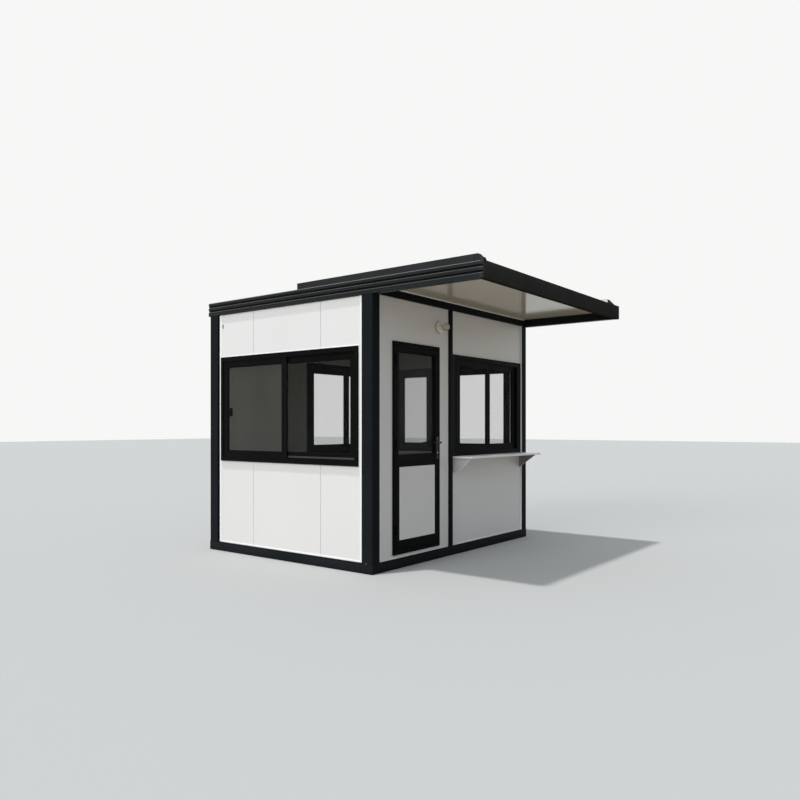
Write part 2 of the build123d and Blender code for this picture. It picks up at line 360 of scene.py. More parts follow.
panelWhite = makeSurface(
    "whitePanel", (0.79, 0.79, 0.795), 0.38, spread=0.012, clouds=1.1, bump=0.04,
    dust=dict(most=0.06, top=0.5, colour=(0.42, 0.4, 0.36)))
trimWhite = makeSurface("whiteTrim", (0.92, 0.92, 0.92), 0.3, spread=0.01, clouds=2, bump=0.03)
counterWhite = makeSurface(
    "whiteCounter", (0.9, 0.9, 0.91), 0.28, spread=0.02, clouds=3, grain=260, bump=0.03)
handleDark = makeSurface(
    "darkHandle", (0.013, 0.013, 0.014), 0.3, spread=0.2, clouds=30, grain=900, bump=0.08, specular=0.2)
# grey as painted shade that darkens the room inside
shadeGreyLining = makeSurface("greyLining", (0.43, 0.43, 0.395), 0.5, clouds=1.3, bump=0.04, specular=0.2)
# lighter than the black frame: a painted highlight on the window track
trackHighlightPaint = makeSurface(
    "trackPaintedHighlight", (0.034, 0.035, 0.036), 0.35, spread=0.06, clouds=12, grain=500, bump=0.06,
    specular=0.3)
# one bracket paint in a lit and a shaded copy: painted light and shade
bracketPaintedLit = makeSurface("bracketPaintedLit", (0.6, 0.595, 0.63), 0.3, grain=260, bump=0.03)
bracketPaintedShade = makeSurface("bracketPaintedShade", (0.25, 0.25, 0.235), grain=260, bump=0.03, specular=0.2)
railInside = makeSurface("offWhiteRail", (0.62, 0.61, 0.58), 0.4, clouds=4)
lampWhite = makeSurface("lampWhite", (0.95, 0.89, 0.8), 0.25, spread=0.02, clouds=8, grain=200, bump=0.02)
steelPin = makeSurface("screwSteel", (0.35, 0.35, 0.35), 0.35, spread=0.1, clouds=60, grain=900, bump=0.1)
soffitGloss = makeSurface(  # slightly wavy, so that what it mirrors wanders
    "soffitSheet", (0.8, 0.735, 0.62), 0.13, vary=None, clouds=1.4, cloudDetail=3,
    stops=((0.3, 0.96), (0.7, 1.03)), grain=2.3, grainDetail=1, bump=0.5, bumpDeep=0.004)
rubber = makeSurface(
    "rubberSeal", (0.004, 0.004, 0.004), 0.7, vary=None, specular=0.05, clouds=700, cloudDetail=2,
    stops=((0.3, 0.75), (0.7, 1.5)), grain=700, bump=0.15, bumpDeep=0.0005)
vinyl = makeSurface(
    "floorVinyl", (0.16, 0.155, 0.15), 0.5, vary=None, clouds=60, cloudDetail=6,
    stops=((0.35, 0.7), (0.5, 1), (0.68, 1.5)), grain=60, grainDetail=6, bump=0.1)
paneGlass = makeSurface("paneGlass", (0.02, 0.022, 0.021), 0.03, alpha=0.11, specular=0.1, **thinGlass)
# a lighter, less clear copy of the pane glass: a painted reflection for one pane
reflectionPaintedGlass = makeSurface("reflectionPaintedGlass", (0.105, 0.108, 0.096), 0.05, alpha=0.24, specular=0.1, **thinGlass)
doorGlass = makeSurface("doorGlass", (0.024, 0.027, 0.028), 0.03, alpha=0.32, specular=0.14, **thinGlass)
globeGlass = makeSurface("globeGlass", (0.62, 0.58, 0.52), 0.06, alpha=0.42, specular=0.6, **thinGlass)
print("materials made")

# Where the main planes are
railLow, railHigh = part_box("base_rail_front")
frontY, backY = railLow.y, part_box("base_rail_back")[1].y
leftX, rightX, railTop = railLow.x, railHigh.x, railHigh.z

# Base rails: one frame of four, with a fine groove near its top
rail = dict(edge=0.004, grooveDown=0.013, groove=0.003)
ring = addPlane("baseRails", ((leftX + rightX) / 2, (frontY + backY) / 2, railLow.z),
                (rightX - leftX, backY - frontY, 1))
startEdit(ring)
bpy.ops.mesh.inset(thickness=railHigh.y - railLow.y)
bpy.ops.mesh.delete(type="FACE")
extrudeAll((0, 0, railTop - railLow.z))
z = railTop - rail["grooveDown"]
cutAt(2, (z - rail["groove"], z, z + rail["groove"]))
for axis, outer, way in ((0, leftX, 1), (0, rightX, -1), (1, frontY, 1), (1, backY, -1)):
    movePoints(lambda v: near(v.co.z, z) and near(v.co[axis], outer), along(axis, way * rail["groove"]))
pointOutwards()
endEdit()
softenEdges(ring, rail["edge"], 2)
finishPiece(ring, charcoal, ["base_rail_front", "base_rail_back", "base_rails_side"])


def makePost(node, outer, way, seat):
    post = dict(radius=0.014, radiusSteps=4, lineIn=0.03, line=0.0025, edge=0.003, sharp=60)
    low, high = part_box(node)
    line = post["line"]
    folds = [outer[axis] + way[axis] * post["lineIn"] for axis in (0, 1)]
    piece = addBlock(pieceName(node), low, (high.x, high.y, seat))
    startEdit(piece)  # a folded line down each outer face, then the rounded corner
    for axis, fold in enumerate(folds):
        cutAt(axis, (fold - line, fold, fold + line))
    for axis, fold in enumerate(folds):
        face = 1 - axis
        movePoints(lambda v: near(v.co[axis], fold) and near(v.co[face], outer[face]),
                   along(face, way[face] * line))
    bevelEdges(lambda e: runsAlong(e, 2) and all(near(edgeMiddle(e)[axis], outer[axis]) for axis in (0, 1)),
               post["radius"], post["radiusSteps"])
    endEdit()
    softenEdges(piece, post["edge"], 1, post["sharp"])
    finishPiece(piece, charcoal, [node])


# Posts and the beam over the front wall
post = dict(edge=0.004, headDeep=0.06, headLap=0.002)
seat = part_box("roof_beam_left")[0].z  # the side beams rest on the corner posts
for end, outerY, wayY in (("front", frontY, 1), ("back", backY, -1)):
    for side, outerX, wayX in (("left", leftX, 1), ("right", rightX, -1)):
        makePost(f"post_{end}_{side}", (outerX, outerY), (wayX, wayY), seat)
for node in ("post_middle", "front_top_beam"):
    piece = addBlock(pieceName(node), *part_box(node), post["edge"], 2)
    finishPiece(piece, charcoal, [node])
low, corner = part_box("front_top_beam")[0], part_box("post_front_left")[1]
t = post["headLap"]
head = addBlock("postHeadLeft", (low.x, frontY + t, seat - t),
                (corner.x, low.y + post["headDeep"], low.z + t), t, 2)
finishPair(head, "postHeadRight", charcoal)
print("base rails and posts made")

# Roof

ribs = dict(count=3, slope=0.011, groove=0.015, grooveDeep=0.014, edge=0.0015, sharp=25, lineWide=0.0115,
            lineThick=0.002, lineIn=0.005, lineDown=0.006, shadeIn=0.007, shadeThick=0.004, shadeLow=0.002)


def grooveHeights(low, high):  # the foot of each groove between two ribs
    pitch = (high.z - low.z) / ribs["count"]
    return [low.z + pitch * step for step in range(1, ribs["count"])]


def makeRibbedBeam(name, low, high, axis, outer):
    # the section is cut out of a plane, then drawn out along the beam
    across = 1 - axis
    height, width = high.z - low.z, high[across] - low[across]
    start = (low + high) / 2
    start[axis] = low[axis]
    beam = addPlane(name, start, (width, height, 1) if axis == 1 else (height, width, 1), turnTo(axis))
    inward = 1 if near(outer, low[across]) else -1
    grooves = grooveHeights(low, high)
    startEdit(beam)
    for z in grooves:
        cutAt(2, (z, z + ribs["groove"]))
    cutAt(across, (outer + inward * ribs["grooveDeep"],))

    def inGroove(face):
        middle = face.calc_center_median()
        deep = abs(middle[across] - outer) < ribs["grooveDeep"]
        return deep and any(z < middle.z < z + ribs["groove"] for z in grooves)

    deleteFaces(inGroove)
    extrudeAll(along(axis, high[axis] - low[axis]))
    pointOutwards(merge=True)
    bevelEdges(lambda e: runsAlong(e, axis) and near(edgeMiddle(e)[across], outer)
               and any(near(edgeMiddle(e).z, z) for z in grooves + [high.z]), ribs["slope"])
    endEdit()
    softenEdges(beam, ribs["edge"], 1, ribs["sharp"])
    return beam


# painted light on a ribbed beam: lighter strips as highlights on the rib slopes, black strips as shade in the
# grooves
def makeRibPaintedLight(side, low, high, axis, outer):
    across = 1 - axis
    inward = 1 if near(outer, low[across]) else -1
    lines, seals = [], []
    half = Vector((0, 0, ribs["lineThick"] / 2))
    half[across] = ribs["lineWide"] / 2
    for top in grooveHeights(low, high) + [high.z]:  # a lighter strip on the slope at each rib's top: a painted highlight
        centre = Vector((0, 0, top - ribs["lineDown"]))
        centre[across] = outer + inward * ribs["lineIn"]
        start, end = centre - half, centre + half
        start[axis], end[axis] = low[axis], high[axis]
        lines.append(addBlock("ribHighlightStrip", start, end))
        startEdit(lines[-1])
        bpy.ops.transform.rotate(
            value=math.pi / 4 * inward * (1 if axis == 1 else -1),
            orient_axis="Y" if axis == 1 else "X", center_override=centre)
        endEdit()
    finishPiece(joinAll("ribHighlightStrips" + side, lines), ribHighlightPaint)
    for foot in grooveHeights(low, high):  # a black strip at the back of each groove: painted shade
        start, end = Vector(low), Vector(high)
        face = outer + inward * ribs["shadeIn"]
        start[across], end[across] = sorted((face, face + inward * ribs["shadeThick"]))
        start.z, end.z = foot + ribs["shadeLow"], foot + ribs["groove"]
        seals.append(addBlock("ribGrooveShade", start, end))
    finishPiece(joinAll("ribGrooveShades" + side, seals), rubber)


# Ribbed beams along the roof's edges and the canopy's plain front
fascia = dict(thick=0.006, edge=0.002, darkEnd=0.043, foldIn=0.004, smooth=20)
cap = dict(wide=0.046, deep=0.04, high=0.022, down=0.02, edge=0.006)
low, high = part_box("roof_beam_left")
endY, darkY = low.y + fascia["thick"], low.y + fascia["darkEnd"]
left = makeRibbedBeam("roofBeamLeft", Vector((low.x, darkY, low.z)), high, 1, low.x)
finishPair(left, "roofBeamRight", roofPaint, "roof_beam", fascia["smooth"])
for side, outer in (("Left", leftX), ("Right", rightX)):
    start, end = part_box("roof_beam_" + side.lower())
    start.y = endY
    makeRibPaintedLight(side, start, end, 1, outer)
leftEnd = makeRibbedBeam("roofBeamEndLeft", Vector((low.x, endY, low.z)),
                         Vector((high.x, darkY, high.z)), 1, low.x)
finishPair(leftEnd, "roofBeamEndRight", fasciaPaint, smooth=fascia["smooth"])
low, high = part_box("roof_beam_back")
back = makeRibbedBeam("roofBeamBack", low, high, 0, high.y)
finishPiece(back, roofPaint, ["roof_beam_back"], smooth=fascia["smooth"])
makeRibPaintedLight("Back", low, high, 0, high.y)
low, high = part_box("canopy_fascia")
foldX = leftX + fascia["foldIn"]
sheet = addBlock("sheet", (foldX, low.y, low.z), (-foldX, endY + lap, high.z), fascia["edge"], 2)
core = addBlock("core", (low.x, endY, low.z), high, fascia["edge"])
finishPiece(joinAll("canopyFascia", [sheet, core]), fasciaPaint, ["canopy_fascia"])
block = addBlock("fasciaCapLeft", (foldX, low.y, high.z - cap["down"]),
                 (leftX + cap["wide"], low.y + cap["deep"], high.z + cap["high"]), cap["edge"], 3)
finishPiece(block, fasciaPaint)

# Box rails on the roof, each with a raked nose
rail = dict(capLong=0.08, noseLong=0.03, gap=0.003, gapDeep=0.004, edge=0.002, skin=0.004, noseBack=0.053,
            noseTop=0.02, noseIn=0.004, noseEdge=0.0015)
low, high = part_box("roof_rail_left")
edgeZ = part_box("canopy_fascia")[1].z
boxY = low.y + rail["noseBack"]
body = addBlock("roofRailLeft", (low.x, boxY, low.z), high)
startEdit(body)
for y in (boxY + rail["noseLong"], high.y - rail["capLong"]):
    cutAt(1, (y, y + rail["gap"]))
    pick("faces", lambda f: near(f.calc_center_median().y, y + rail["gap"] / 2))
    bpy.ops.mesh.inset(thickness=0, depth=-rail["gapDeep"])
endEdit()
softenEdges(body, rail["edge"])
nose = addBlock("railNose", (low.x + rail["noseIn"], low.y, edgeZ),
                (high.x - rail["noseIn"], boxY + lap, high.z))
startEdit(nose)
movePoints(lambda v: near(v.co.y, low.y) and near(v.co.z, high.z),
           (0, 0, edgeZ + rail["noseTop"] - high.z))
endEdit()
softenEdges(nose, rail["noseEdge"])
finishPair(body, "roofRailRight", railPaint, "roof_rail")
finishPair(nose, "railNoseRight", fasciaPaint, "roof_rail")
skin = addBlock("railSkinLeft", (high.x - lap, boxY, low.z),
                (high.x + rail["skin"], high.y, high.z - rail["skin"]), fine)
finishPair(skin, "railSkinRight", railInside)

# Roof sheet with low ribs
sheet = dict(count=12, pitch=0.24, foot=0.034, crest=0.018, gap=0.01, edge=0.002, smooth=25)
low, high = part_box("roof_panel")
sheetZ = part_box("roof_rail_left")[0].z
panel = addBlock("panel", low, (high.x, high.y, sheetZ), sheet["edge"])
first = -(sheet["count"] - 1) / 2 * sheet["pitch"]
rib = addBlock("rib", (first - sheet["foot"] / 2, low.y + sheet["gap"], sheetZ - lap),
               (first + sheet["foot"] / 2, high.y - sheet["gap"], high.z))
startEdit(rib)
pick("verts", lambda v: near(v.co.z, high.z))
bpy.ops.transform.resize(value=(sheet["crest"] / sheet["foot"], 1, 1), center_override=(first, 0, 0))
endEdit()
softenEdges(rib, sheet["edge"], 2)
copies = [carry(copyOf(rib, "rib"), Matrix.Translation((step * sheet["pitch"], 0, 0)))
          for step in range(1, sheet["count"])]
finishPiece(joinAll("roofSheet", [panel, rib] + copies), roofSheetGrey,
            ["roof_panel"], smooth=sheet["smooth"])

# Soffit under the canopy
edging = dict(side=0.014, back=0.008, thick=0.006, edge=0.0012)
low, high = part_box("canopy_soffit")
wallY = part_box("front_top_beam")[0].y
t, edge = edging["thick"], edging["edge"]
sheet = addBlock("canopySoffit", low, high, fine)
finishPiece(sheet, soffitGloss, ["canopy_soffit"])
back = addBlock("soffitTrim", (low.x, wallY - t, low.z - edging["back"]), (high.x, wallY, low.z), edge)
finishPiece(back, trimWhite)
sides = [addBlock("trim", (x, low.y, low.z - edging["side"]), (x + t, wallY - t, low.z), edge)
         for x in (low.x, high.x - t)]
finishPiece(joinAll("soffitSideTrim", sides), roofPaint)
print("roof made")


# Walls: boards scored with a shallow V at each panel joint

def makeWall(node, joints, thin):
    wall = dict(halfGroove=0.005, deep=0.01, edge=0.0015, sharp=60, clear=0.02, smooth=20)
    low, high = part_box(node)
    run, half = 1 - thin, wall["halfGroove"]
    piece = addBlock(pieceName(node), low, high)
    startEdit(piece)
    for joint in joints:
        if low[run] + wall["clear"] < joint < high[run] - wall["clear"]:
            cutAt(run, (joint - half, joint, joint + half))
            for face, way in ((low[thin], 1), (high[thin], -1)):
                movePoints(lambda v: near(v.co[run], joint) and near(v.co[thin], face),
                           along(thin, way * wall["deep"]))
    endEdit()
    softenEdges(piece, wall["edge"], 1, wall["sharp"])
    finishPiece(piece, panelWhite, [node], smooth=wall["smooth"])


panel = dict(firstJoint=0.545, pitch=0.983)
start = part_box("left_wall_lower")[0].y + panel["firstJoint"]
for node in ("left_wall_lower", "left_wall_upper", "right_wall_lower", "right_wall_upper"):
    makeWall(node, (start, start + panel["pitch"]), 0)
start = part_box("back_wall_left")[0].x + panel["pitch"]
for node in ("back_wall_left", "back_wall_lower", "back_wall_upper"):
    makeWall(node, (start, start + panel["pitch"]), 1)
for node in ("front_wall_left", "front_wall_beside_door", "front_wall_over_door", "door_sill",
             "front_wall_lower", "front_wall_upper"):
    makeWall(node, (), 1)
repaint("wall_edge_strips", panelWhite)
# the seal widths size black strips that are painted shade beside the posts
trim = dict(proud=0.004, side=0.034, foot=0.016, doorFoot=0.0096, head=0.012, edge=0.0015, end=0.016,
            seal=0.018, cornerShade=0.009, upright=0.013)


def makeStrips(name, thin, face, spans, material, more=()):  # each span is start, end, foot and top
    strips = []
    for start, end, foot, top in spans:
        low, high = [start, start, foot], [end, end, top]
        low[thin], high[thin] = face - trim["proud"], face + trim["proud"]
        strips.append(addBlock("strip", low, high, trim["edge"]))
    finishPiece(joinAll(name, strips + list(more)), material)


# Bright cover strips where the panels meet posts, rail and windows
side, foot, head, upright = trim["side"], railTop + trim["foot"], trim["head"], trim["upright"]
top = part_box("left_wall_upper")[1].z
for wall, end in (("left", 0), ("right", 1)):
    low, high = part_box(wall + "_wall_lower")
    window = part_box(wall + "_window_frame")
    shadeStripY = high.y - trim["seal"]  # a black strip runs up beside the back post: painted shade of the gap there
    face = (low, high)[end].x
    makeStrips(wall + "WallTrim", 0, face, [
        (low.y, low.y + side, railTop, top),
        (shadeStripY - side, shadeStripY, railTop, top),
        (low.y + side, shadeStripY - side, railTop, foot),
        (window[0].y, window[1].y, window[1].z, window[1].z + head)], trimWhite)
    makeStrips(wall + "WallShadeStrip", 0, face, [(shadeStripY, high.y, railTop, top)], rubber)
low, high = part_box("back_wall_left")
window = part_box("back_window_frame")
makeStrips("backWallTrim", 1, high.y, [
    (low.x, low.x + side, railTop, top),
    (low.x + side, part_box("back_wall_lower")[1].x, railTop, foot),
    (window[0].x, window[1].x, window[1].z, window[1].z + head)], trimWhite)
low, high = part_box("front_wall_left")
postLow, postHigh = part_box("post_middle")
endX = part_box("front_wall_lower")[1].x
shadeStripX = low.x + trim["cornerShade"]
deep = addBlock("strip", (endX - upright, low.y - trim["end"], railTop),
                (endX, low.y + trim["proud"], high.z), trim["edge"])
makeStrips("frontWallTrim", 1, low.y, [
    (shadeStripX, postLow.x, railTop, railTop + trim["doorFoot"]),
    (postHigh.x, endX, railTop, foot),
    (shadeStripX, shadeStripX + upright, railTop, high.z),
    (postLow.x - upright, postLow.x, railTop, high.z)], trimWhite, [deep])
# a black strip beside the near post: painted shade of the gap there
makeStrips("frontWallShadeStrip", 1, low.y, [(low.x, shadeStripX, railTop, high.z)], rubber)

# Thin grey boards on the room side of each wall; their grey is painted shade that keeps the room dark
board = dict(thick=0.002, edge=0.0006)
for wall, thin, inner, parts in (
        ("left", 0, 1, ("lower", "upper")), ("right", 0, 0, ("lower", "upper")),
        ("back", 1, 0, ("left", "lower", "upper")),
        ("front", 1, 1, ("left", "beside_door", "over_door", "lower", "upper"))):
    for part in parts:
        low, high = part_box(f"{wall}_wall_{part}")
        face = (low, high)[inner][thin]
        low[thin] = face - (0 if inner else board["thick"])
        high[thin] = low[thin] + board["thick"]
        piece = addBlock(pieceName(f"lining_{wall}_{part}"), low, high, board["edge"])
        finishPiece(piece, shadeGreyLining)
print("walls made")


# Windows, each made facing the front and then carried to its wall

def toWall(node, wall):  # along the wall becomes X or Y, depth runs inwards from the outer face
    low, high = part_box(node)
    x, y = {"front": ((1, 0, 0, 0), (0, 1, 0, low.y)), "back": ((1, 0, 0, 0), (0, -1, 0, high.y)),
            "left": ((0, 1, 0, low.x), (1, 0, 0, 0)), "right": ((0, -1, 0, high.x), (1, 0, 0, 0))}[wall]
    return Matrix((x, y, (0, 0, 1, 0), (0, 0, 0, 1)))


def cutHole(x0, x1, z0, z1):  # opens a rectangle through a block that is already cut along its sides
    def inside(face):
        middle = face.calc_center_median()
        return abs(face.normal.y) > 0.9 and x0 < middle.x < x1 and z0 < middle.z < z1

    deleteFaces(inside)
    pick("edges", lambda e: e.is_boundary)
    bpy.ops.mesh.bridge_edge_loops()
    pointOutwards()


def addRing(name, low, high, rail, sides=None):  # sides is the width at the low end and at the high end
    ring = addBlock(name, low, high)
    sides = sides or (rail, rail)
    x0, x1, z0, z1 = low[0] + sides[0], high[0] - sides[1], low[2] + rail, high[2] - rail
    startEdit(ring)
    cutAt(0, (x0, x1))
    cutAt(2, (z0, z1))
    cutHole(x0, x1, z0, z1)
    endEdit()
    return ring


def chamferHole(piece, x0, x1, z0, z1, y, width):  # slopes the bead round the glass
    startEdit(piece)

    def onRim(edge):
        middle = edgeMiddle(edge)
        if not near(middle.y, y):
            return False
        upright = runsAlong(edge, 2) and (near(middle.x, x0) or near(middle.x, x1)) and z0 <= middle.z <= z1
        level = runsAlong(edge, 0) and (near(middle.z, z0) or near(middle.z, z1)) and x0 <= middle.x <= x1
        return upright or level

    bevelEdges(onRim, width)
    endEdit()


def makeWindow(stem, wall, meeting, outerIsHigh):  # meeting is measured from the frame's low end
    w = dict(face=0.046, stile=0.074, narrow=0.032, rail=0.066, sash=0.02, tracks=(0.008, 0.03), glass=0.006,
             glassIn=0.014, glassLap=0.004, lip=0.01, lipDeep=0.003, frameEdge=0.0018, bead=0.002, fin=0.003,
             finHigh=0.012, line=0.008, lineDeep=0.0018, sashEdge=0.0016, seal=0.009, sealLap=0.002,
             sealHalf=0.0055)
    name, node, sashNode = stem + "Window", stem + "_window_frame", stem + "_window_sashes"
    place = toWall(node, wall)

    def fit(piece, material, nodes=()):
        finishPiece(carry(piece, place), material, nodes)

    low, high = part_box(node)
    sashLow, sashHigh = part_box(sashNode)
    run = 0 if wall in ("front", "back") else 1
    a0, a1, z0, z1 = low[run], high[run], low.z, high.z
    inner0, inner1 = sashLow[run], sashHigh[run]
    depth = (high - low)[1 - run]
    floorZ, ceilingZ = z0 + w["face"], z1 - w["face"]
    ring = addRing("ring", (a0, 0, z0), (a1, depth, z1), w["face"], (inner0 - a0, a1 - inner1))
    sinkFaces(ring, w["lip"], w["lipDeep"])
    softenEdges(ring, w["frameEdge"])
    fins = []
    for track in w["tracks"]:
        y = track + w["sash"] / 2
        for base, top in ((floorZ - lap, floorZ + w["finHigh"]), (ceilingZ - w["finHigh"], ceilingZ + lap)):
            fins.append(addBlock("fin", (inner0, y - w["fin"] / 2, base), (inner1, y + w["fin"] / 2, top)))
    fit(joinAll(name + "Frame", [ring] + fins), black, nodes=[node])

    edge = a0 + meeting + w["stile"] / 2  # both meeting stiles end here
    lowStile, highStile = (w["narrow"], w["stile"]) if outerIsHigh else (w["stile"], w["narrow"])
    lowTrack, highTrack = w["tracks"][::-1] if outerIsHigh else w["tracks"]
    seals = []
    for label, start, end, sides, track in (
            ("Low", inner0, edge, (w["stile"], lowStile), lowTrack),
            ("High", edge - highStile, inner1, (highStile, w["stile"]), highTrack)):
        sash = addRing(name + label + "Sash", (start, track, sashLow.z), (end, track + w["sash"], sashHigh.z),
                       w["rail"], sides)
        x0, x1 = start + sides[0], end - sides[1]
        base, top = sashLow.z + w["rail"], sashHigh.z - w["rail"]
        chamferHole(sash, x0, x1, base, top, track, w["bead"])
        sinkFaces(sash, w["line"], w["lineDeep"])
        softenEdges(sash, w["sashEdge"])
        fit(sash, black, nodes=[sashNode])
        y, t, s = track + w["glassIn"], w["glassLap"], w["sealLap"]
        pane = addBlock(name + label + "Pane", (x0 - t, y - w["glass"] / 2, base - t),
                        (x1 + t, y + w["glass"] / 2, top + t), fine)
        # the left window's outer pane carries the painted reflection
        paintedReflection = stem == "left" and label == "High"
        fit(pane, reflectionPaintedGlass if paintedReflection else paneGlass, ["window_glass"])
        seals.append(addRing("seal", (x0 - s, y - w["sealHalf"], base - s),
                             (x1 + s, y + w["sealHalf"], top + s), w["seal"]))
    fit(joinAll(name + "Seals", seals), rubber)
    if stem == "left":
        fit(makeLatch(inner1 - w["stile"], w["tracks"][0], (z0 + z1) / 2), rubber)
        strip, web = makeTrackRail(inner0, edge - highStile, floorZ)
        fit(strip, trackHighlightPaint)
        fit(web, rubber)
    if stem == "back":
        fit(makeCasing((a0, z0), (a1, z1), depth), black)


def makeLatch(x, face, middle):  # inside the outer sash's far stile
    latch = dict(long=0.088, wide=0.064, deep=0.01, inset=0.004, down=0.034, edge=0.003)
    y, z = face + latch["inset"], middle - latch["down"]
    return addBlock("leftWindowLatch", (x - latch["wide"], y, z - latch["long"] / 2),
                    (x + lap, y + latch["deep"], z + latch["long"] / 2), latch["edge"], 2)


def makeTrackRail(start, end, floorZ):  # the bare track in front of the inner sash; its lighter grey is a painted highlight
    rail = dict(up=0.014, high=0.018, inset=0.024, thick=0.003, webIn=0.0005, edge=0.0008)
    y0, y1, foot = rail["inset"], rail["inset"] + rail["thick"], floorZ + rail["up"]
    strip = addBlock("leftWindowTrackRail", (start, y0, foot), (end, y1, foot + rail["high"]), rail["edge"])
    web = addBlock("web", (start, y0 + rail["webIn"], floorZ - lap), (end, y1 - rail["webIn"], foot + lap))
    return strip, web


def makeCasing(low, high, depth):  # a flat cover frame on the room side
    casing = dict(thick=0.004, side=0.006, top=0.012, cover=0.02)
    side, top, wide = casing["side"], casing["top"], casing["side"] + casing["cover"]
    ring = addRing("backWindowCasing", (low[0] - side, depth, low[1] - top),
                   (high[0] + side, depth + casing["thick"], high[1] + top),
                   top + casing["cover"], (wide, wide))
    softenEdges(ring, fine)
    return ring


makeWindow("left", "left", meeting=0.998, outerIsHigh=True)
makeWindow("right", "right", meeting=1.256, outerIsHigh=False)
makeWindow("back", "back", meeting=0.792, outerIsHigh=True)
makeWindow("service", "front", meeting=0.747, outerIsHigh=False)
print("windows made")

# Where the door's leaf and its lock plates are
leafLow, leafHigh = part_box("door_leaf_frame")
plateLow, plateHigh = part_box("door_lock_plates")

# Door frame and leaf
door = dict(edge=0.003, leafEdge=0.002, bead=0.012, panelBead=0.002, jamb=0.03, seal=0.004, sealHalf=0.006,
            border=0.006, borderDeep=0.001)
jambs = addRing("doorFrame", *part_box("door_frame"), door["jamb"])
softenEdges(jambs, door["edge"])
finishPiece(jambs, black, ["door_frame"])
glassLow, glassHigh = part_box("door_glass")
panelLow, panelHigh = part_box("door_lower_panel")
holes = [(start.x, end.x, start.z, end.z) for start, end in ((glassLow, glassHigh), (panelLow, panelHigh))]
leaf = addBlock("doorLeaf", leafLow, leafHigh)
startEdit(leaf)
cutAt(0, (glassLow.x, glassHigh.x))
cutAt(2, (panelLow.z, panelHigh.z, glassLow.z, glassHigh.z))
for hole in holes:
    cutHole(*hole)
endEdit()
for hole, bead in zip(holes, (door["bead"], door["panelBead"])):
    chamferHole(leaf, *hole, leafLow.y, bead)
softenEdges(leaf, door["leafEdge"])
finishPiece(leaf, black, ["door_leaf_frame"], "door")
pane = addBlock("doorPane", glassLow, glassHigh, fine)
finishPiece(pane, doorGlass, ["door_glass"], "door")
middle = (glassLow.y + glassHigh.y) / 2
seal = addRing("doorSeal", (glassLow.x, middle - door["sealHalf"], glassLow.z),
               (glassHigh.x, middle + door["sealHalf"], glassHigh.z), door["seal"])
finishPiece(seal, rubber, body="door")
board = addBlock("doorLowerPanel", panelLow, panelHigh)
sinkFaces(board, door["border"], door["borderDeep"], (-1, 1))
softenEdges(board, fine)
finishPiece(board, panelWhite, ["door_lower_panel"], "door")

# Lock plates, their screws and the key barrel
lock = dict(plate=0.008, edge=0.003, sharp=50, turn=0.016, turnSteps=6, screw=0.0035, screwLong=0.003,
            screwOut=0.0005, screwEdge=0.0006, screwSides=16, screwIn=0.013, keyUp=0.068, barrel=0.009,
            barrelOut=0.014, barrelLong=0.007, barrelSides=28, slitWide=0.002, slitHigh=0.01, slitOut=0.0138,
            slitDeep=0.0008)
x, keyZ = (plateLow.x + plateHigh.x) / 2, plateLow.z + lock["keyUp"]
plates, screws = [], []
for face, way in ((leafLow.y, -1), (leafHigh.y, 1)):
    y0, y1 = sorted((face, face + way * lock["plate"]))
    plate = addBlock("plate", (plateLow.x, y0, plateLow.z), (plateHigh.x, y1, plateHigh.z))
    startEdit(plate)
    bevelEdges(lambda e: runsAlong(e, 1), lock["turn"], lock["turnSteps"])
    endEdit()
    softenEdges(plate, lock["edge"], 2, lock["sharp"])
    plates.append(plate)
    y = face + way * (lock["plate"] + lock["screwOut"])
    for z in (plateLow.z + lock["screwIn"], plateHigh.z - lock["screwIn"]):
        screws.append(addRound("screw", (x, y, z), lock["screw"], lock["screwLong"],
                               lock["screwSides"], lock["screwEdge"]))
finishPiece(joinAll("lockPlates", plates), handleDark, ["door_lock_plates"], "door")
finishPiece(joinAll("lockScrews", screws), steelPin, body="door")
barrelY, slitY = leafLow.y - lock["barrelOut"] + lock["barrelLong"] / 2, leafLow.y - lock["slitOut"]
barrel = addRound("keyBarrel", (x, barrelY, keyZ), lock["barrel"], lock["barrelLong"],
                  lock["barrelSides"], fine, 2)
wide, high = lock["slitWide"] / 2, lock["slitHigh"] / 2
# a black mark on the barrel's face, painted shade in place of the keyway
keywayShadeMark = addBlock("keywayPaintedShade", (x - wide, slitY - lock["slitDeep"], keyZ - high),
                (x + wide, slitY, keyZ + high))
finishPiece(barrel, steelPin, body="door")
finishPiece(keywayShadeMark, rubber, body="door")

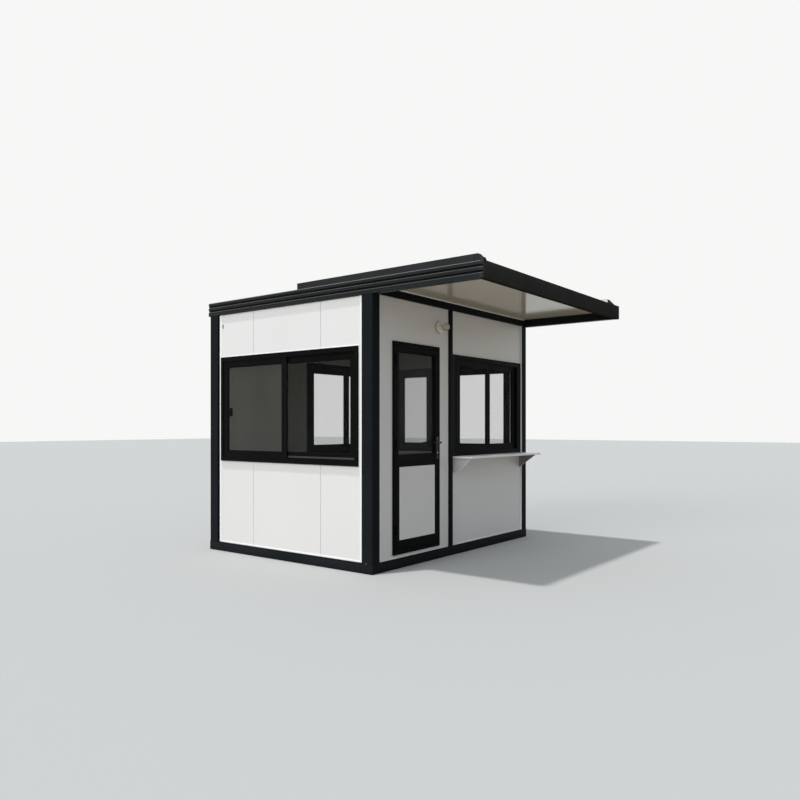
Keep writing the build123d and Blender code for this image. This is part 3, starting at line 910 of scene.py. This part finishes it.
# Lever handles on one spindle
lever = dict(plate=0.008, neck=0.009, neckSides=24, rose=0.015, roseLong=0.01, roseSides=28, roseEdge=0.003,
             gripHalf=0.01, gripThick=0.013, gripIn=0.009, gripEdge=0.004, tipIn=0.006,
             narrowing=((0, 0.62), (0.2, 0.72), (0.4, 0.82), (0.6, 0.92), (0.8, 1)))
low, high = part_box("door_lever")
x, z = (plateLow.x + plateHigh.x) / 2, (low.z + high.z) / 2
half, t = lever["gripHalf"], lever["gripThick"] / 2
endX = x + lever["neck"]
length = endX - low.x
parts = []
for face, end, way in ((leafLow.y - lever["plate"], low.y + lever["gripIn"], -1),
                       (leafHigh.y + lever["plate"], high.y - lever["gripIn"], 1)):
    neck = addRound("neck", (x, (face + end) / 2, z), lever["neck"], abs(end - face), lever["neckSides"])
    rose = addRound("rose", (x, face + way * lever["roseLong"] / 2, z), lever["rose"],
                    lever["roseLong"], lever["roseSides"], lever["roseEdge"], 2)
    grip = addBlock("grip", (low.x, end - t, z - half), (endX, end + t, z + half))
    startEdit(grip)
    cutAt(0, [low.x + length * step[0] for step in lever["narrowing"][1:]])
    for part, narrow in lever["narrowing"]:
        pick("verts", lambda v: near(v.co.x, low.x + length * part))
        bpy.ops.transform.resize(value=(1, 1, narrow), center_override=(low.x, end, z))
    movePoints(lambda v: near(v.co.x, low.x), (0, -way * lever["tipIn"], 0))
    endEdit()
    softenEdges(grip, lever["gripEdge"], 3)
    parts += [neck, rose, grip]
finishPiece(joinAll("leverHandles", parts), handleDark, ["door_lever"], "lever")

# The bow grip, spun from a small circle
pull = dict(radius=0.0065, sides=14, steps=18, foot=0.0105, footLong=0.006, footSides=24, footEdge=0.0015)
low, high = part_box("door_pull")
radius, face, x = pull["radius"], high.y, (low.x + high.x) / 2
z0, z1 = low.z + radius, high.z - radius
half, reach = (z1 - z0) / 2, face - low.y - radius
bend = (half * half + reach * reach) / (2 * reach)
sweep = 2 * math.asin(half / bend)
deselectAll()
bpy.ops.mesh.primitive_circle_add(
    vertices=pull["sides"], radius=radius, location=(x, face, z0), rotation=(sweep / 2, 0, 0),
    fill_type="NGON")
bow = settle("bow")
startEdit(bow)
bpy.ops.mesh.spin(steps=pull["steps"], angle=-sweep, center=(x, face - reach + bend, (z0 + z1) / 2),
                  axis=(1, 0, 0))
pointOutwards(merge=True)
endEdit()
feet = [addRound("foot", (x, face - pull["footLong"] / 2, z), pull["foot"], pull["footLong"],
                 pull["footSides"], pull["footEdge"]) for z in (z0, z1)]
finishPiece(joinAll("doorPull", [bow] + feet), handleDark, ["door_pull"], "door")
repaint("hinge_frame_halves", black)
repaint("hinge_door_halves", black)
print("door made")


# Lamp, counter and floor

def addBall(name, segments, radius, centre, turn=(0, 0, 0)):
    deselectAll()
    bpy.ops.mesh.primitive_uv_sphere_add(
        segments=segments, ring_count=segments // 2, radius=radius, location=centre, rotation=turn)
    return settle(name)


# Wall lamp
lamp = dict(sides=48, thick=0.016, edge=0.002, sharp=40,
            steps=((0.01, 0.005), (0.014, 0.004), (0.012, 0.012)), gasket=0.004, gasketOut=0.003,
            gasketEdge=0.0008, open=0.86, wall=0.0025, bulb=0.026, bulbSides=32, bulbNeck=0.012,
            neckWide=0.6, neckLong=0.014)
low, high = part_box("lamp_base")
x, z, radius = (low.x + high.x) / 2, (low.z + high.z) / 2, (high.x - low.x) / 2
base = addRound("lampBase", (x, high.y - lamp["thick"] / 2, z), radius, lamp["thick"], lamp["sides"])
front = high.y - lamp["thick"]
startEdit(base)
for inset, rise in lamp["steps"]:
    pick("faces", lambda f: f.normal.y < -0.95 and near(f.calc_center_median().y, front))
    bpy.ops.mesh.inset(thickness=inset)
    bpy.ops.mesh.extrude_region_move(TRANSFORM_OT_translate={"value": (0, -rise, 0)})
    front -= rise
endEdit()
softenEdges(base, lamp["edge"], 2, lamp["sharp"])
finishPiece(base, lampWhite, ["lamp_base"])
gasket = addRound("lampGasket", (x, high.y - lamp["gasket"] / 2, z), radius + lamp["gasketOut"],
                  lamp["gasket"], lamp["sides"], lamp["gasketEdge"])
finishPiece(gasket, rubber)
low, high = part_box("lamp_globe")
radius = (high.x - low.x) / 2
centre = Vector((x, low.y + radius, z))
globe = addBall("lampGlobe", lamp["sides"], radius, centre, turnTo(1))
startEdit(globe)
bpy.ops.mesh.bisect(plane_co=centre + along(1, radius * lamp["open"]), plane_no=(0, 1, 0), clear_outer=True)
pointOutwards()
endEdit()
shell = globe.modifiers.new("wall", "SOLIDIFY")
shell.thickness = lamp["wall"]
makeActive(globe)
bpy.ops.object.modifier_apply(modifier=shell.name)
finishPiece(globe, globeGlass, ["lamp_globe"])
bulb = addBall("lampBulb", lamp["bulbSides"], lamp["bulb"], centre)
startEdit(bulb)
pick("verts", lambda v: v.co.y > centre.y + lamp["bulbNeck"])
bpy.ops.transform.resize(value=(lamp["neckWide"], 1, lamp["neckWide"]), center_override=centre)
bpy.ops.transform.translate(value=(0, lamp["neckLong"], 0))
endEdit()
finishPiece(bulb, lampWhite)

# Counter shelf
counter = dict(edge=0.004, steps=3)
low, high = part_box("counter_shelf")
shelf = addPlane("counterShelf", ((low.x + high.x) / 2, (low.y + high.y) / 2, low.z),
                 (high.x - low.x, high.y - low.y, 1))
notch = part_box("post_front_right")[0]
startEdit(shelf)  # cut round the corner post
cutAt(0, (notch.x,))
cutAt(1, (notch.y,))
deleteFaces(lambda f: f.calc_center_median().x > notch.x and f.calc_center_median().y > notch.y)
extrudeAll((0, 0, high.z - low.z))
pointOutwards()
endEdit()
softenEdges(shelf, counter["edge"], counter["steps"])
finishPiece(shelf, counterWhite, ["counter_shelf"])

# Brackets under the counter, the left one painted pale as lit, the right one painted grey as shaded, each
# with pale lips as painted highlights
bracket = dict(thick=0.005, flange=0.022, flangeThick=0.004, upperIn=0.01, leftFoot=0.07, rightFoot=0.024,
               lip=0.007, lipProud=0.002, lipEdge=0.0006)
low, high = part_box("counter_brackets")
thick, flat, lip = bracket["thick"], bracket["flangeThick"], bracket["lip"]
for name, x, foot, paint, edgeHighlightPaint in (
        ("counterBracketLeft", low.x, bracket["leftFoot"], bracketPaintedLit, trimWhite),
        ("counterBracketRight", high.x - thick, bracket["rightFoot"], bracketPaintedShade, bracketPaintedLit)):
    footY, outX, lipX = high.y - foot, x + bracket["flange"], x - bracket["lipProud"]
    plate = addBlock("plate", (x, low.y, low.z), (x + thick, high.y, high.z))
    startEdit(plate)
    movePoints(lambda v: near(v.co.z, low.z) and near(v.co.y, low.y), (0, footY - low.y, 0))
    endEdit()
    softenEdges(plate, fine)
    flange = addBlock("flange", (x, high.y - flat, low.z), (outX, high.y, high.z), fine)
    upper = addBlock("upper", (x, low.y + bracket["upperIn"], high.z - flat), (outX, high.y, high.z), fine)
    finishPiece(joinAll(name, [plate, flange, upper]), paint, ["counter_brackets"])
    tipY = low.y + (footY - low.y) * lip / (high.z - low.z)  # pale lips along the slope and up the wall: painted highlights
    slope = addBlock("lip", (lipX, tipY, high.z - lip), (x + lap, footY, high.z))
    startEdit(slope)
    movePoints(lambda v: near(v.co.y, footY), (0, 0, low.z + lip - high.z))
    endEdit()
    softenEdges(slope, bracket["lipEdge"])
    upright = addBlock("lip", (lipX, high.y - lip, low.z), (x + lap, high.y, high.z), bracket["lipEdge"])
    finishPiece(joinAll(name + "Lips", [slope, upright]), edgeHighlightPaint)

# A rivet on the near post's seam and a hook high on the left wall
rivet = dict(radius=0.005, long=0.003, sides=14, back=0.076, down=0.001)
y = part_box("post_front_left")[0].y + rivet["back"]
pin = addRound("rivet", (leftX + rivet["long"] / 2, y, railTop - rivet["down"]), rivet["radius"],
               rivet["long"], rivet["sides"], fine, axis=0)
finishPiece(pin, steelPin)
hook = dict(wide=0.01, proud=0.006, inset=0.002, high=0.044, back=0.076, down=0.15, edge=0.003)
low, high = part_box("left_wall_upper")
y, z = high.y - hook["back"], high.z - hook["down"]
block = addBlock("wallHook", (low.x - hook["proud"], y, z),
                 (low.x + hook["inset"], y + hook["wide"], z + hook["high"]), hook["edge"], 2)
finishPiece(block, rubber)
repaint("floor_deck", vinyl)
print("fittings made")


# Floor, backdrop, light and camera

def seenDirectly(tree):  # 1 for camera, glossy and see-through rays, 0 for the light that bounces
    path = addNode(tree, "LightPath", {})
    total = path.outputs["Is Camera Ray"]
    for kind in ("Is Transmission Ray", "Is Glossy Ray"):
        total = addNode(tree, "Math", {0: total, 1: path.outputs[kind]}, operation="MAXIMUM")
    return total


# Ground, pale where it is seen, with less bounce on the booth
stage = dict(size=120, down=0.001, floor=(0.46, 0.46, 0.455), bounce=(0.235, 0.212, 0.18), roughness=0.9,
             specular=0.1)
ground = addPlane("ground", (0, 0, -stage["down"]), (stage["size"], stage["size"], 1))
material, tree, shader = newMaterial("paleFloor", stage["floor"], stage["roughness"], stage["specular"])
bounce, floor = (*stage["bounce"], 1), (*stage["floor"], 1)
tone = addNode(tree, "Mix", {"Factor": seenDirectly(tree), "A": bounce, "B": floor}, data_type="RGBA")
setInputs(tree, shader, {"Base Color": tone.outputs["Result"]})
ground.data.materials.append(material)

# Backdrop: the fill grows from the horizon to overhead
sky = dict(seen=(0.93, 0.93, 0.925), low=(0.375, 0.375, 0.375), high=(0.62, 0.72, 0.78))
world = bpy.data.worlds.new("studio")
world.use_nodes = True
tree = world.node_tree
tree.nodes.clear()
height = addRamp(tree, heightIn(tree, "Generated"), [(0, sky["low"]), (1, sky["high"])])
fill = addNode(tree, "Background", {"Color": height})
seen = addNode(tree, "Background", {"Color": (*sky["seen"], 1)})
mix = addNode(tree, "MixShader", {"Fac": seenDirectly(tree), 1: fill, 2: seen})
addNode(tree, "OutputWorld", {"Surface": mix})
scene.world = world

# Two suns
lights = dict(key=dict(energy=1.49, angle=35, aim=(0.9, -0.1, -0.3)),
              high=dict(energy=2.2, angle=2.5, aim=(0.2, -0.1, -0.97)))
sunColour = (1, 0.985, 0.97)
for name, light in lights.items():
    sun = bpy.data.lights.new(name, "SUN")
    sun.energy = light["energy"]
    sun.angle = math.radians(light["angle"])
    sun.color = sunColour
    source = bpy.data.objects.new(name, sun)
    source.rotation_euler = Vector(light["aim"]).to_track_quat("-Z", "Y").to_euler()
    scene.collection.objects.link(source)

# Camera
eye = dict(back=5.168, away=4.3086, up=1.379, yaw=52.36, lens=32.8, shift=0.0322)
camera = bpy.data.cameras.new("view")
camera.lens = eye["lens"]
camera.shift_y = eye["shift"]
lookout = bpy.data.objects.new("view", camera)
lookout.location = (leftX - eye["back"], frontY - eye["away"], eye["up"])
lookout.rotation_euler = (math.pi / 2, 0, -math.radians(eye["yaw"]))
scene.collection.objects.link(lookout)
scene.camera = lookout
scene.view_settings.view_transform = "Standard"
print("stage, lights and camera made")
